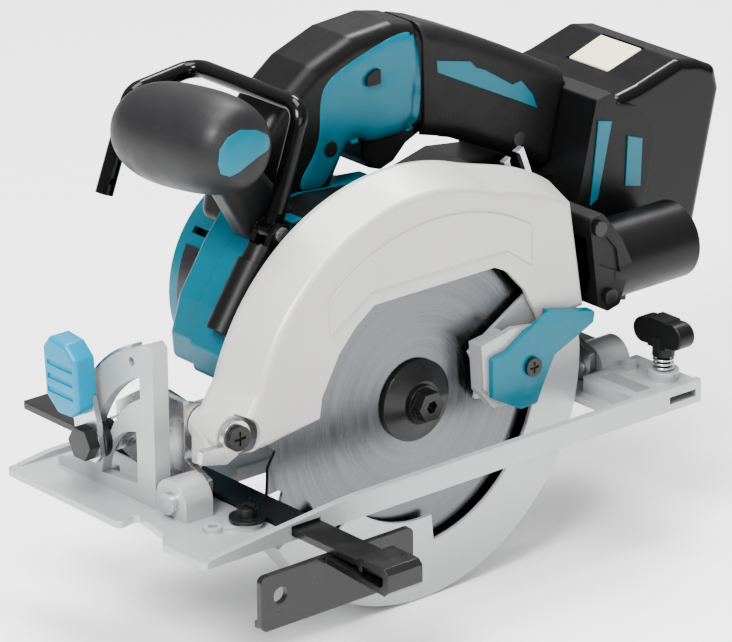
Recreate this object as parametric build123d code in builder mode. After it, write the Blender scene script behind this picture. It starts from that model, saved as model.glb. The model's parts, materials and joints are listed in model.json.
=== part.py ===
"""Cordless circular saw.

Row frame: X to the rear, Y to the motor side, Z up.  The origin is on the underside
of the base plate, midway across it, straight below the blade arbor.
"""
from build123d import *
import os
from math import acos, cos, pi, radians, sin, sqrt, tan

os.makedirs("parts", exist_ok=True)

# Driving dimensions, in millimetres and degrees.
BLADE_R = 82.5
BLADE_T = 1.6
BLADE_Y = -30.0
BORE_R = 10.0
TEETH = 24
ARBOR = (0.0, 25.5)
IDLER = (7.91, 42.55)
MOTOR = (0.0, 56.0)
DEPTH_PIVOT = (-98.5, 36.5)
BEVEL_PIVOT = (-20.6, 9.6)
BASE_Y = (-66.5, 66.5)
PLATE_T = 3.2
SLOT_X = (-80.6, 91.0)
SLOT_Y = (-59.0, -4.0)
RAIL_T = 3.3
RAIL_Z = 10.5
BAR_X = (-95.5, -81.0)
BAR_Z = (2.2, 5.2)
REAR_BAR_X = (114.2, 129.5)
QUAD_X = -122.0
QUAD_R = 65.5
SLOT_R = 48.5
LOCK_ANGLE = 17.5
CASE_Y = (-39.2, -16.2)
CASE_R = 100.0
CASE_TAPER = 17.0
GUARD_R = 89.8
GUARD_Y = (-35.4, -20.6)
GUARD_T = 1.8
GEAR_MODULE = 0.8
GUIDE_R = 190.0
GUIDE_LOCK = -7.0
HANDLE_Y = (20.0, 52.0)
MID_Y = 36.0
BATT_TILT = 13.5
BATT_Y = (1.2, 76.0)
PIN_R = 3.0
RUN = 0.05


def side(y):
    """Plane facing the blade side at the given Y; its local axes are X and Z."""
    return Plane.XZ.offset(-y)


def front(x):
    """Plane facing the rear at the given X; its local axes are Y and Z."""
    return Plane.YZ.offset(x)


def level(z):
    """Horizontal plane at the given height."""
    return Plane.XY.offset(z)


def battery_side(y):
    """Plane facing the blade side, its local Y along the battery's long axis."""
    tilt = radians(BATT_TILT)
    return Plane(origin=(0, y, 0), x_dir=(cos(tilt), 0, -sin(tilt)), z_dir=(0, -1, 0))


def prism(plane, points, depth, mode=Mode.ADD, corner=0.0, taper=0.0):
    """Straight-sided outline extruded from a plane, its corners rounded if asked."""
    with BuildSketch(plane) as outline:
        with BuildLine():
            Polyline(*points, close=True)
        make_face()
        if corner:
            fillet(outline.vertices(), corner)
    extrude(outline.sketch, amount=depth, mode=mode, taper=taper)


def disc(plane, centre, radius, depth, mode=Mode.ADD, taper=0.0):
    """Round boss or hole."""
    with BuildSketch(plane) as outline:
        with Locations(centre):
            Circle(radius)
    extrude(outline.sketch, amount=depth, mode=mode, taper=taper)


def hexagon(plane, centre, flats, depth, mode=Mode.ADD):
    """Hexagonal head or socket, measured across its flats."""
    with BuildSketch(plane) as outline:
        with Locations(centre):
            RegularPolygon(flats / 2, 6, major_radius=False)
    extrude(outline.sketch, amount=depth, mode=mode)


def block(x, y, z, mode=Mode.ADD):
    """Box between the given limits."""
    with BuildSketch(level(z[0])) as outline:
        with Locations(((x[0] + x[1]) / 2, (y[0] + y[1]) / 2)):
            Rectangle(x[1] - x[0], y[1] - y[0])
    extrude(outline.sketch, amount=z[1] - z[0], mode=mode)


def arc_band(plane, centre, r_in, r_out, start, sweep, depth, mode=Mode.ADD):
    """Piece of a flat ring between two angles."""
    with BuildSketch(plane) as outline:
        with BuildLine():
            inner = CenterArc(centre, r_in, start, sweep)
            outer = CenterArc(centre, r_out, start, sweep)
            Line(inner @ 0, outer @ 0)
            Line(inner @ 1, outer @ 1)
        make_face()
    extrude(outline.sketch, amount=depth, mode=mode)


def arc_slot(plane, centre, radius, start, sweep, width, depth):
    """Curved slot with round ends."""
    arc_band(plane, centre, radius - width / 2, radius + width / 2, start, sweep, depth, Mode.SUBTRACT)
    for angle in (start, start + sweep):
        disc(plane, polar(centre, radius, angle), width / 2, depth, Mode.SUBTRACT)


def polar(centre, radius, angle):
    """Point at a radius and an angle about a centre."""
    return (centre[0] + radius * cos(radians(angle)), centre[1] + radius * sin(radians(angle)))


def finish(piece, name):
    """Label a finished piece and write it as its own node."""
    piece.part.label = name
    export_step(piece.part, f"parts/{name}.step")


def gear_points(teeth, turn, flank_steps=4, pressure=25.0, backlash=0.10):
    """Involute stub-tooth outline with its first tooth centred at the angle turn."""
    pitch = GEAR_MODULE * teeth / 2
    base = pitch * cos(radians(pressure))
    tip = pitch + 0.8 * GEAR_MODULE
    root = pitch - 1.0 * GEAR_MODULE
    half = pi / (2 * teeth) - backlash / (2 * pitch)
    inv_pitch = tan(radians(pressure)) - radians(pressure)
    first = max(base, root)
    points = []
    for tooth in range(teeth):
        middle = radians(turn) + 2 * pi * tooth / teeth
        flank = []
        for step in range(flank_steps + 1):
            r = first + (tip - first) * step / flank_steps
            at = acos(min(1.0, base / r))
            flank.append((r, half + inv_pitch - (tan(at) - at)))
        if root < first:
            flank.insert(0, (root, flank[0][1]))
        for r, spread in flank:
            points.append((r * cos(middle - spread), r * sin(middle - spread)))
        for r, spread in reversed(flank):
            points.append((r * cos(middle + spread), r * sin(middle + spread)))
    return points


def gear(centre, teeth, turn, y_far, depth):
    """Spur gear about an axis along Y."""
    points = [(centre[0] + u, centre[1] + v) for u, v in gear_points(teeth, turn)]
    prism(side(y_far), points, depth)


# ---------------------------------------------------------------- base

with BuildPart() as base_plate:
    prism(level(0), [(-141.5, 66.5), (-141.5, -11), (-130.5, -9), (-134.5, -31), (-141.5, -39.5),
                     (-141.5, -66.5), (132.5, -66.5), (132.5, 66.5)], PLATE_T, corner=2.5)
    # rails along both long edges, the near one sloping down towards the front corner
    prism(side(BASE_Y[0] + RAIL_T), [(-138, 0), (-138, 3.6), (-123, 5), (-75, 9.6), (-62, RAIL_Z),
                                     (132.4, RAIL_Z), (132.4, 0)], RAIL_T)
    prism(side(BASE_Y[1]), [(-136, 0), (-136, 3.6), (-120, 5.6), (-75, 6), (132.4, 6), (132.4, 0)], RAIL_T)
    # rear cross box over the bar channel, and the near box with its recess
    block((110.5, 132.4), (-66, 66), (0, 9.5))
    block((96, 111), (-66, -31), (0, RAIL_Z))
    block((101, 109), (-60, -36), (5, 20), Mode.SUBTRACT)
    block((112.5, 131), (10, 56), (7.8, 20), Mode.SUBTRACT)
    # stiffening ribs on the motor side and a rib round the blade slot
    block((-74, 112), (SLOT_Y[1], SLOT_Y[1] + 2.4), (0, 6))
    block((-78, 112), (28, 30.4), (0, 5.6))
    block((20, 22.4), (-3, 65), (0, 5.6))
    # front pivot lug, rear pivot lug and their feet
    prism(front(QUAD_X), [(-30.6, 1), (-30.6, 9.6), (-10.6, 9.6), (-10.6, 1)], 14)
    disc(front(QUAD_X), BEVEL_PIVOT, 10, 14)
    prism(front(108), [(-30.6, 1), (-30.6, 9.6), (-10.6, 9.6), (-10.6, 1)], 16)
    disc(front(108), BEVEL_PIVOT, 10, 16)
    # bosses: fence clamp, plate screw, wing screw
    disc(level(0), (-103.2, -47), 6.2, 5.6)
    prism(level(0), [(-121, -44), (-104, -52), (-104, -42), (-121, -41.5)], 5.0)
    disc(level(0), (-118, -42.8), 4.2, 5.4)
    disc(level(0), (122.3, -53.5), 6.8, 14)
    block((116, 121), (-38, -34), (0, 14))
    # channels that the rip fence bar runs in
    block((BAR_X[0] - 0.4, BAR_X[1] + 0.4), (-70, 70), (2.0, 6.4), Mode.SUBTRACT)
    block((REAR_BAR_X[0], REAR_BAR_X[1]), (-70, 70), (3.2, 6.4), Mode.SUBTRACT)
    # blade slot
    block(SLOT_X, SLOT_Y, (-1, 8), Mode.SUBTRACT)
    # pivot holes and screw holes
    disc(front(-130), BEVEL_PIVOT, PIN_R, 30, Mode.SUBTRACT)
    disc(front(106), BEVEL_PIVOT, PIN_R, 24, Mode.SUBTRACT)
    disc(front(124), BEVEL_PIVOT, 5.2, 10, Mode.SUBTRACT)
    disc(level(-1), (-103.2, -47), 2.5, 10, Mode.SUBTRACT)
    disc(level(6.4), (122.3, -53.5), 3.0, 10, Mode.SUBTRACT)
    disc(level(-1), (-118, -42.8), 1.9, 8, Mode.SUBTRACT)
    for hole in ((-118, 2), (-118, 40)):
        disc(level(-1), hole, 2.5, 8, Mode.SUBTRACT)
        disc(level(-1), hole, 4.4, 2.6, Mode.SUBTRACT)
finish(base_plate, "base_plate")

POST_Y = -10.5
with BuildPart() as bevel_quadrant:
    with BuildSketch(front(QUAD_X)):
        with BuildLine():
            top = (2.0, BEVEL_PIVOT[1] + sqrt(QUAD_R**2 - (2.0 - BEVEL_PIVOT[0]) ** 2))
            low = (BEVEL_PIVOT[0] + QUAD_R, BEVEL_PIVOT[1])
            Polyline(low, (56, 6), (56, PLATE_T), (POST_Y + 0.2, PLATE_T), (POST_Y + 0.2, 73),
            (-7, 75), top)
            ThreePointArc(top, polar(BEVEL_PIVOT, QUAD_R, 35), low)
        make_face()
        with BuildLine():
            Polyline((26, 8.5), (1.5, 11), (1.5, 34))
            ThreePointArc((1.5, 34), (17, 26), (26, 8.5))
        make_face(mode=Mode.SUBTRACT)
        with Locations((3.6, 64.5)):
            Circle(1.9, mode=Mode.SUBTRACT)
    extrude(amount=5)
    arc_slot(front(QUAD_X - 1), BEVEL_PIVOT, SLOT_R, 15, 55, 8.6, 8)
    # deep edge post beside the pivot and the foot flange under the arc
    prism(front(QUAD_X), [(POST_Y + 0.2, PLATE_T), (POST_Y + 0.2, 73), (-7, 75), (-1.5, 72.5),
                          (-1.5, PLATE_T)], 8)
    prism(front(QUAD_X), [(28, PLATE_T), (28, 7.5), (54, 7.5), (55, PLATE_T)], 11)
    prism(front(QUAD_X), [(POST_Y + 0.2, PLATE_T), (POST_Y + 0.2, 8), (8, 8), (8, PLATE_T)], 11)
    for y in (2, 40):
        disc(level(PLATE_T), (-118, y), 2.5, 4.0, Mode.SUBTRACT)
finish(bevel_quadrant, "bevel_quadrant")

with BuildPart() as bevel_scale:
    arc_band(front(QUAD_X + 0.6), BEVEL_PIVOT, QUAD_R, QUAD_R + 1.3, 26, 42, 5.6)
finish(bevel_scale, "bevel_scale")

with BuildPart() as quadrant_screws:
    for y in (2, 40):
        disc(level(0), (-118, y), 4.3, 1.6)
        disc(level(1.6), (-118, y), 2.45, 5.2)
        hexagon(level(0), (-118, y), 3, 1.2, Mode.SUBTRACT)
finish(quadrant_screws, "quadrant_screws")

with BuildPart() as pivot_pins:
    disc(front(-124.5), BEVEL_PIVOT, 4.6, 2.4)
    disc(front(-122.2), BEVEL_PIVOT, PIN_R, 19.4)
    disc(front(103.2), BEVEL_PIVOT, PIN_R, 20.9)
    disc(front(124.1), BEVEL_PIVOT, 4.6, 2.0)
finish(pivot_pins, "pivot_pins")

with BuildPart() as fence_clamp_screw:
    disc(level(0.6), (-103.2, -47), 2.45, 6)
    disc(level(5.7), (-103.2, -47), 7.8, 1.3)
    disc(level(7.0), (-103.2, -47), 4.4, 4.2)
    block((-103.9, -102.5), (-52, -42), (9.8, 12), Mode.SUBTRACT)
finish(fence_clamp_screw, "fence_clamp_screw")

WING = (122.3, -53.5)
with BuildPart() as wing_screw:
    disc(level(6.9), WING, 2.95, 16)
    disc(level(20.5), WING, 5.0, 8.5)
    with BuildSketch(front(WING[0] - 4.5)) as wing_outline:
        with Locations((WING[1], 31)):
            SlotOverall(30, 11.5, rotation=-4)
            Rectangle(11, 13)
    extrude(wing_outline.sketch, amount=9)
    fillet(wing_screw.edges().filter_by(GeomType.LINE, reverse=True).sort_by(Axis.Z)[-4:], 1.0)
finish(wing_screw, "wing_screw")

with BuildPart() as wing_spring:
    for turn in range(3):
        with BuildSketch(Plane.XZ.offset(-WING[1])) as coil:
            with Locations((WING[0] + 4.1, 15.1 + 1.9 * turn)):
                Circle(0.65)
        revolve(coil.sketch, axis=Axis((WING[0], WING[1], 0), (0, 0, 1)))
finish(wing_spring, "wing_spring")

# ---------------------------------------------------------------- rip fence

LOOP_Y = -127.0
with BuildPart() as rip_fence:
    block(BAR_X, (LOOP_Y, 117), BAR_Z)
    with BuildSketch(front(BAR_X[0] - 2.5)) as loop:
        with BuildLine():
            Polyline((-112, 8.2), (-127, 8.2), (-129.5, 6), (-129.5, -1.5), (-127, -3.8), (-91, -1.2),
                     (-91, 1.6), (-124, -0.8), (-126, 0.6), (-126, 3.6), (-124.5, 5.2),
                     (-112, 5.2), close=True)
        make_face()
    extrude(loop.sketch, amount=18)
    block((BAR_X[0] - 2.5, BAR_X[0] + 15.5), (-113, -111), (2.4, 8.2))
    prism(side(-88.2), [(-132, -22), (-132, 2), (-52, 2), (-52, -22)], 2.8, corner=3)
    block((-130, -54), (-88.4, -84), (-22, -19.2))
    disc(side(-85), (-122, -8), 3.6, 9, Mode.SUBTRACT)
    for edge_x in (-95.5, -81):
        block((edge_x - 1, edge_x + 1), (115.5, 118), (0, 8), Mode.SUBTRACT)
finish(rip_fence, "rip_fence")

# ---------------------------------------------------------------- tilting frame

LOCK = polar(BEVEL_PIVOT, SLOT_R, LOCK_ANGLE)
PLATE_X = -107.6
with BuildPart() as front_bracket:
    prism(front(PLATE_X), [(-26.2, 9.6), (-26.2, 17), (-12, 22), (-12, 47), (13, 47), (34, 34), (34, 15),
                           (24, 11), (-12, 5.2), (-20.6, 3.8), (-24.6, 5.4)], 3.0, corner=0.8)
    disc(front(-116.7), LOCK, 7, 9.1)
    for y_far in (-9, 11):
        prism(side(y_far), [(-105.5, 10), (-105.5, 46.8), (-98.5, 44.5), (-90.8, 38), (-90.8, 34),
                            (-98, 18),
                            (-103, 9)], 3)
    disc(side(12), DEPTH_PIVOT, PIN_R + RUN, 30, Mode.SUBTRACT)
    disc(front(-120), BEVEL_PIVOT, PIN_R + RUN, 20, Mode.SUBTRACT)
    disc(front(-120), LOCK, 3.0, 20, Mode.SUBTRACT)
finish(front_bracket, "front_bracket")

with BuildPart() as rear_depth_guide:
    arc_band(side(-4.6), DEPTH_PIVOT, GUIDE_R - 6, GUIDE_R + 6, GUIDE_LOCK - 1.6, 31.4, 3)
    prism(side(-4.6), [(88, 4.8), (107.4, 4.8), (107.4, 22), (97, 30), (92, 30)], 3)
    prism(front(104.4), [(-26.2, 9.6), (-26.2, 17), (-12, 24), (-4.6, 24), (-4.6, 5), (-20.6, 3.8),
                         (-24.6, 5.4)], 3)
    arc_slot(side(-4), DEPTH_PIVOT, GUIDE_R, GUIDE_LOCK - 0.4, 29.4, 6.4, 5)
    disc(front(100), BEVEL_PIVOT, PIN_R + RUN, 10, Mode.SUBTRACT)
finish(rear_depth_guide, "rear_depth_guide")

with BuildPart() as bevel_lock_bolt:
    hexagon(front(-133.5), LOCK, 13, 5.2)
    disc(front(-128.3), LOCK, 2.95, 26)
    disc(front(-125.3), LOCK, 8.2, 3.1)
    hexagon(front(-104.5), LOCK, 10, 4.0)
finish(bevel_lock_bolt, "bevel_lock_bolt")

with BuildPart() as bevel_lever_arm:
    prism(front(-128.2), [(18.5, 19), (22, 15.5), (30, 15.5), (33.5, 20), (40, 50), (26, 52),
                          (20, 34)], 2.7, corner=1.5)
    disc(front(-129), LOCK, 3.0 + RUN, 5, Mode.SUBTRACT)
finish(bevel_lever_arm, "bevel_lever_arm")

with BuildPart() as bevel_lever_grip:
    prism(front(-136.5), [(22, 40), (23.5, 62), (30, 67.5), (41, 68.5), (45.5, 63), (44, 42),
                          (36, 35.5), (27, 36)],
          10.3, corner=2.5)
    fillet(bevel_lever_grip.edges().group_by(Axis.X)[0], 2.0)
    for z in (44, 50, 56):
        block((-137, -135.7), (25, 42), (z, z + 2.2), Mode.SUBTRACT)
    prism(front(-128.25), [(18, 14), (34, 14), (40.3, 52.3), (25.7, 52.3), (18, 36)], 2.85, Mode.SUBTRACT)
finish(bevel_lever_grip, "bevel_lever_grip")

# ---------------------------------------------------------------- blade case and gear housing

NEAR_Y = CASE_Y[0]
with BuildPart() as blade_case:
    with BuildSketch(side(-18.6)) as case_outline:
        with BuildLine():
            foot = Polyline((96, 42), (-108, 22), (-110, 34), polar(ARBOR, CASE_R, 162))
            roof = ThreePointArc(foot @ 1, polar(ARBOR, CASE_R, 110), polar(ARBOR, CASE_R, 70))
            back = Spline(roof @ 1, (66, 110), (87, 99), tangents=[roof % 1, (1, -0.75)])
            Line(back @ 1, foot @ 0)
        make_face()
    extrude(case_outline.sketch, amount=-18.6 - NEAR_Y, taper=CASE_TAPER)
    fillet(blade_case.faces().sort_by(Axis.Y)[0].edges(), 3.0)
    extrude(case_outline.sketch, amount=-(CASE_Y[1] + 18.6))
    # lugs of the depth pivot on both faces of the casting
    disc(side(-16.0), DEPTH_PIVOT, 8.5, 15.6)
    disc(side(-12.4), DEPTH_PIVOT, 7.5, 5)
    # cavity for the blade and the guard
    disc(side(-18.6), ARBOR, 97.4, 18.2, Mode.SUBTRACT, taper=CASE_TAPER)
    disc(side(-18.6), ARBOR, 91.2, 18.3, Mode.SUBTRACT)
    # the casting's arch: open below, with a flat top to the window
    prism(side(-36.5), [(-126, 0), (-126, 16), (-79, 32), (-58, 35), (-56.5, 44), (-47, 61),
                        (-38, 70.5), (-28, 77.5),
                        (38, 77.5), (45, 74), (55, 63), (62, 50), (64.5, 44.5), (100, 42), (120, 42),
                        (120, 0)],
          8, Mode.SUBTRACT)
    prism(side(-10), [(-126, 0), (-126, 16), (-79, 26), (-40, 12), (40, 12), (110, 41), (120, 41),
                      (120, 0)],
          26.6, Mode.SUBTRACT)
    # dust channel through the back wall
    prism(side(-22), [(70, 56), (105, 56), (105, 75), (60, 75)], 13, Mode.SUBTRACT)
    # spindle boss hole, pivot hole, relief behind the foot
    disc(side(-16), ARBOR, 20.6, 3, Mode.SUBTRACT)
    disc(side(-10), DEPTH_PIVOT, PIN_R, 30, Mode.SUBTRACT)
    prism(side(-10), [(-125, 10), (-125, 60), (-107.2, 60), (-107.2, 10)], 19, Mode.SUBTRACT)
    disc(side(-31.7), DEPTH_PIVOT, 9.2, 10, Mode.SUBTRACT)
    prism(side(-31.7), [(-98, 27), (-98, 46), (-125, 46), (-125, 25)], 10, Mode.SUBTRACT)
    # shallow raised panel over the arch
    with BuildSketch(side(NEAR_Y)) as panel:
        with BuildLine():
            low_arc = Polyline((-52, 70), (-30, 84), (44, 84), (58, 74))
            up_arc = ThreePointArc((58, 92), (0, 107), (-52, 86))
            Line(low_arc @ 1, up_arc @ 0)
            Line(up_arc @ 1, low_arc @ 0)
        make_face()
    extrude(panel.sketch, amount=0.8)
finish(blade_case, "blade_case")

HOUSING_NEAR = [(-58, 34), (-80, 46), (-82, 58), (-76, 76), (-62, 96), (-50, 108), (-20, 110),
                (24, 106), (48, 88),
                (56, 60), (48, 34), (24, 10), (10, 6.4), (-10, 6.4), (-30, 16)]
SHAFT_LOCK = (-4.3, 24.75)
SLEEVE_R = 7.8
SLEEVE_LOW = (-81.0, -5.0, 68.4)
SLEEVE_DIR = (0.56, 0.0, 0.8285)
LED_SEAT = [(-73, 42.2), (-65, 37.8), (-64, 39.6), (-72, 44)]
with BuildPart() as gear_housing:
    prism(side(16), HOUSING_NEAR, 31.8, corner=4)
    disc(side(-15.8), ARBOR, 20.3, 7.6)
    # arm behind the blade case that carries the depth lock
    prism(side(-8.0), [(20, 60), (20, 12), (96.5, 7), (96.5, 20), (60, 52)], 4)
    # gear cavity
    disc(side(7.6), ARBOR, 14, 17.2, Mode.SUBTRACT)
    disc(side(7.6), IDLER, 15, 17.2, Mode.SUBTRACT)
    disc(side(7.6), MOTOR, 12, 17.2, Mode.SUBTRACT)
    # bearing seats: spindle near and far, motor near; idler shaft seats
    disc(side(-8), ARBOR, 13.0, 5, Mode.SUBTRACT)
    disc(side(-13), ARBOR, 16.0, 12, Mode.SUBTRACT)
    disc(side(15), ARBOR, 11.0, 8, Mode.SUBTRACT)
    disc(side(17), MOTOR, 11.0, 10, Mode.SUBTRACT)
    disc(side(12), IDLER, 3.0 + RUN, 26, Mode.SUBTRACT)
    # weight-saving pocket in the front lobe, open to the motor side
    prism(side(17), [(-52, 46), (-64, 54), (-64, 62), (-56, 76), (-44, 92), (-24, 102), (-24, 76),
                     (-30, 50)],
          24, Mode.SUBTRACT)
    prism(side(17), [(24, 98), (42, 84), (49, 60), (44, 40), (30, 30), (26, 50),
                     (24, 74)], 24, Mode.SUBTRACT)
    # seat of the lamp lens under the front lobe
    prism(side(9), LED_SEAT, 9, Mode.SUBTRACT)
    # depth lock bolt hole
    LOCK_BOLT = polar(DEPTH_PIVOT, GUIDE_R, GUIDE_LOCK)
    disc(side(-6), LOCK_BOLT, 3.0, 8, Mode.SUBTRACT)
    # guide hole of the shaft lock and its groove for the hook's sleeve
    disc(front(-60), SHAFT_LOCK, 2.4 + RUN, 50, Mode.SUBTRACT)
    with BuildSketch(Plane(origin=SLEEVE_LOW, x_dir=(0, 1, 0), z_dir=SLEEVE_DIR)) as groove:
        Circle(SLEEVE_R + RUN)
    extrude(groove.sketch, amount=70, mode=Mode.SUBTRACT)
    # clearance for the fork of the hook and for the head of the shaft lock
    prism(side(3.8), [(-70, 101), (-58, 88), (-44, 98), (-44, 120), (-70, 120)], 17.6, Mode.SUBTRACT)
    disc(front(-60), SHAFT_LOCK, 5.8, 11.4, Mode.SUBTRACT)
finish(gear_housing, "gear_housing")

SPINDLE_TEETH = 32
IDLER_BIG = 29
IDLER_SMALL = 15
MOTOR_TEETH = 10


def direction(start, end):
    """Angle from one centre to another, in degrees."""
    return Vector(end[0] - start[0], end[1] - start[1]).get_signed_angle(Vector(1, 0), Vector(0, 0, -1))


TO_IDLER = direction(ARBOR, IDLER)
TO_MOTOR = direction(IDLER, MOTOR)

# ---------------------------------------------------------------- motor housing

LOBE = [(-58, 36), (-78, 47), (-79, 58), (-74, 74), (-60, 95), (-50, 107), (-20, 109), (24, 105), (47, 88),
        (55, 60), (47, 35), (24, 11), (10, 7), (-10, 7), (-30, 17)]
DRUM_R = 49.0
with BuildPart() as motor_housing:
    prism(side(34), LOBE, 17.8, corner=4)
    fillet(motor_housing.faces().sort_by(Axis.Y)[-1].edges(), 3)
    disc(side(72), MOTOR, DRUM_R, 40)
    with BuildSketch(side(72)) as cap_base:
        with Locations(MOTOR):
            Circle(DRUM_R)
    extrude(cap_base.sketch, amount=-6.5, taper=50)
    fillet(motor_housing.faces().sort_by(Axis.Y)[-1].edges(), 4)
    # inside
    disc(side(70), MOTOR, DRUM_R - 3, 40, Mode.SUBTRACT)
    disc(side(30), MOTOR, DRUM_R - 3, 20, Mode.SUBTRACT)
    prism(side(31), [(-54, 42), (-72, 50), (-73, 58), (-68, 72), (-56, 89), (-46, 96),
                     (-40, 60)], 16, Mode.SUBTRACT)
    # ribs that hold the stator and a seat for the far bearing
    for angle in (45, 135, 225, 315):
        with BuildSketch(side(58)) as rib:
            with Locations(polar(MOTOR, 36.6, angle)):
                Rectangle(20, 4, rotation=angle)
        extrude(rib.sketch, amount=34)
    disc(side(73), MOTOR, 15, 7)
    disc(side(72), MOTOR, 11, 7, Mode.SUBTRACT)
    # air slots: a fan of them round the top and the front, and rings in the cap
    for angle in range(60, 200, 12):
        with BuildSketch(side(66)) as slot:
            with Locations(polar(MOTOR, DRUM_R, angle)):
                Rectangle(9, 3.2, rotation=angle)
        extrude(slot.sketch, amount=16, mode=Mode.SUBTRACT)
    for radius in (22, 30, 38):
        for start in (10, 100, 190, 280):
            arc_band(side(80), MOTOR, radius - 1.4, radius + 1.4, start, 70, 12, Mode.SUBTRACT)
finish(motor_housing, "motor_housing")

with BuildPart() as stator_core:
    disc(side(57), MOTOR, 26, 30)
    disc(side(58), MOTOR, 14.5, 32, Mode.SUBTRACT)
    for angle in range(0, 360, 60):
        arc_band(side(58), MOTOR, 17, 22.5, angle + 10, 40, 32, Mode.SUBTRACT)
finish(stator_core, "stator_core")

with BuildPart() as stator_coils:
    for angle in range(0, 360, 60):
        for y_far in (61, 26.8):
            arc_band(side(y_far), MOTOR, 17.4, 24.5, angle - 22, 44, 3.8)
finish(stator_coils, "stator_coils")

with BuildPart() as rotor_shaft:
    disc(side(70.8), MOTOR, 4.0, 60.6)
    disc(side(10.2), MOTOR, 2.6, 9)
    gear(MOTOR, MOTOR_TEETH, TO_MOTOR + 180 + 180 / MOTOR_TEETH, 8.8, 7.6)
finish(rotor_shaft, "rotor_shaft")

with BuildPart() as rotor_core:
    disc(side(56), MOTOR, 14.0, 28)
    disc(side(57), MOTOR, 4.0, 30, Mode.SUBTRACT)
finish(rotor_core, "rotor_core")

with BuildPart() as cooling_fan:
    disc(side(63.6), MOTOR, 8, 2.4)
    disc(side(63.6), MOTOR, 24, 1.2)
    for blade_angle in range(0, 360, 30):
        with BuildSketch(side(63.2)) as vane:
            with Locations(polar(MOTOR, 18.5, blade_angle)):
                Rectangle(11, 1.4, rotation=blade_angle + 25)
        extrude(vane.sketch, amount=1.9)
    disc(side(66), MOTOR, 4.0, 10, Mode.SUBTRACT)
finish(cooling_fan, "cooling_fan")


def ball_bearing(centre, bore, outer, y_far, width):
    """Two races and a closed ring of balls between them, as a group of solids."""
    thick = (outer - bore) * 0.24
    for r_in, r_out, depth in ((bore, bore + thick, width), (outer - thick, outer, width)):
        arc_ring(centre, r_in, r_out, y_far, depth)
    arc_ring(centre, bore + thick, outer - thick, y_far - width * 0.2, width * 0.6)


def arc_ring(centre, r_in, r_out, y_far, depth):
    """Plain ring about an axis along Y."""
    with BuildSketch(side(y_far)) as outline:
        with Locations(centre):
            Circle(r_out)
            Circle(r_in, mode=Mode.SUBTRACT)
    extrude(outline.sketch, amount=depth)


with BuildPart() as ball_bearings:
    ball_bearing(ARBOR, 7.5 + RUN, 16.0, -13.2, 9.0)
    ball_bearing(ARBOR, 5.0 + RUN, 11.0, 14.8, 6.8)
    ball_bearing(MOTOR, 4.0 + RUN, 11.0, 15.8, 6.8)
    ball_bearing(MOTOR, 4.0 + RUN, 11.0, 71.8, 6.0)
finish(ball_bearings, "ball_bearings")

# ---------------------------------------------------------------- spindle and gears

with BuildPart() as spindle:
    disc(side(14.6), ARBOR, 5.0, 8)
    disc(side(7.2), ARBOR, 6.0, 8)
    disc(side(1), ARBOR, 7.5, 26)
    disc(side(-24.8), ARBOR, BORE_R - 0.03, 5.9)
    disc(side(-22.5), ARBOR, BORE_R - 0.03, 3)
    disc(side(-20), ARBOR, 3.0, 20, Mode.SUBTRACT)
finish(spindle, "spindle")

with BuildPart() as drive_gear:
    gear(ARBOR, SPINDLE_TEETH, TO_IDLER, -0.8, 7.0)
    disc(side(1), ARBOR, 7.5, 12, Mode.SUBTRACT)
finish(drive_gear, "drive_gear")

with BuildPart() as idler_gear:
    disc(side(11.8), IDLER, 3.0, 25)
    gear(IDLER, IDLER_SMALL, TO_IDLER + 180 + 180 / IDLER_SMALL, 1.2, 9.6)
    gear(IDLER, IDLER_BIG, TO_MOTOR, 7.0, 5.6)
finish(idler_gear, "idler_gear")

with BuildPart() as inner_flange:
    disc(side(-24.6), ARBOR, 18, 4.5)
    disc(side(-24), ARBOR, BORE_R - 0.03, 6, Mode.SUBTRACT)
    disc(side(-27), ARBOR, 15, 2.4, Mode.SUBTRACT, taper=0)
    disc(side(-24.6), ARBOR, 15.2, 3.4)
    disc(side(-24), ARBOR, BORE_R - 0.03, 6, Mode.SUBTRACT)
finish(inner_flange, "inner_flange")

with BuildPart() as blade:
    with BuildSketch(side(BLADE_Y + BLADE_T / 2)) as blade_outline:
        with BuildLine():
            rim = []
            for tooth in range(TEETH):
                step = 360 / TEETH
                start = tooth * step
                rim += [polar(ARBOR, BLADE_R, start), polar(ARBOR, BLADE_R - 1.6, start - 3.2),
                        polar(ARBOR, BLADE_R - 3.0, start - 8.0), polar(ARBOR, BLADE_R - 7.6, start - 12.6),
                        polar(ARBOR, BLADE_R - 6.2, start - 14.2)][::-1]
            Polyline(*rim, close=True)
        make_face()
        with Locations(ARBOR):
            Circle(BORE_R, mode=Mode.SUBTRACT)
    extrude(amount=BLADE_T)
finish(blade, "blade")

with BuildPart() as outer_flange:
    with BuildSketch(Plane.XY.offset(ARBOR[1])) as flange_half:
        with BuildLine():
            Polyline((3.2, -30.8), (18, -30.8), (18, -32.6), (9.5, -36.2), (3.2, -36.2), close=True)
        make_face()
    revolve(flange_half.sketch, axis=Axis((0, 0, ARBOR[1]), (0, 1, 0)))
finish(outer_flange, "outer_flange")

with BuildPart() as blade_bolt:
    disc(side(-36.2), ARBOR, 8.2, 1.8)
    hexagon(side(-38.0), ARBOR, 12, 4.8)
    disc(side(-23), ARBOR, 2.95, 14)
    hexagon(side(-40.2), ARBOR, 5, 3, Mode.SUBTRACT)
finish(blade_bolt, "blade_bolt")

# ---------------------------------------------------------------- lower guard

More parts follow.
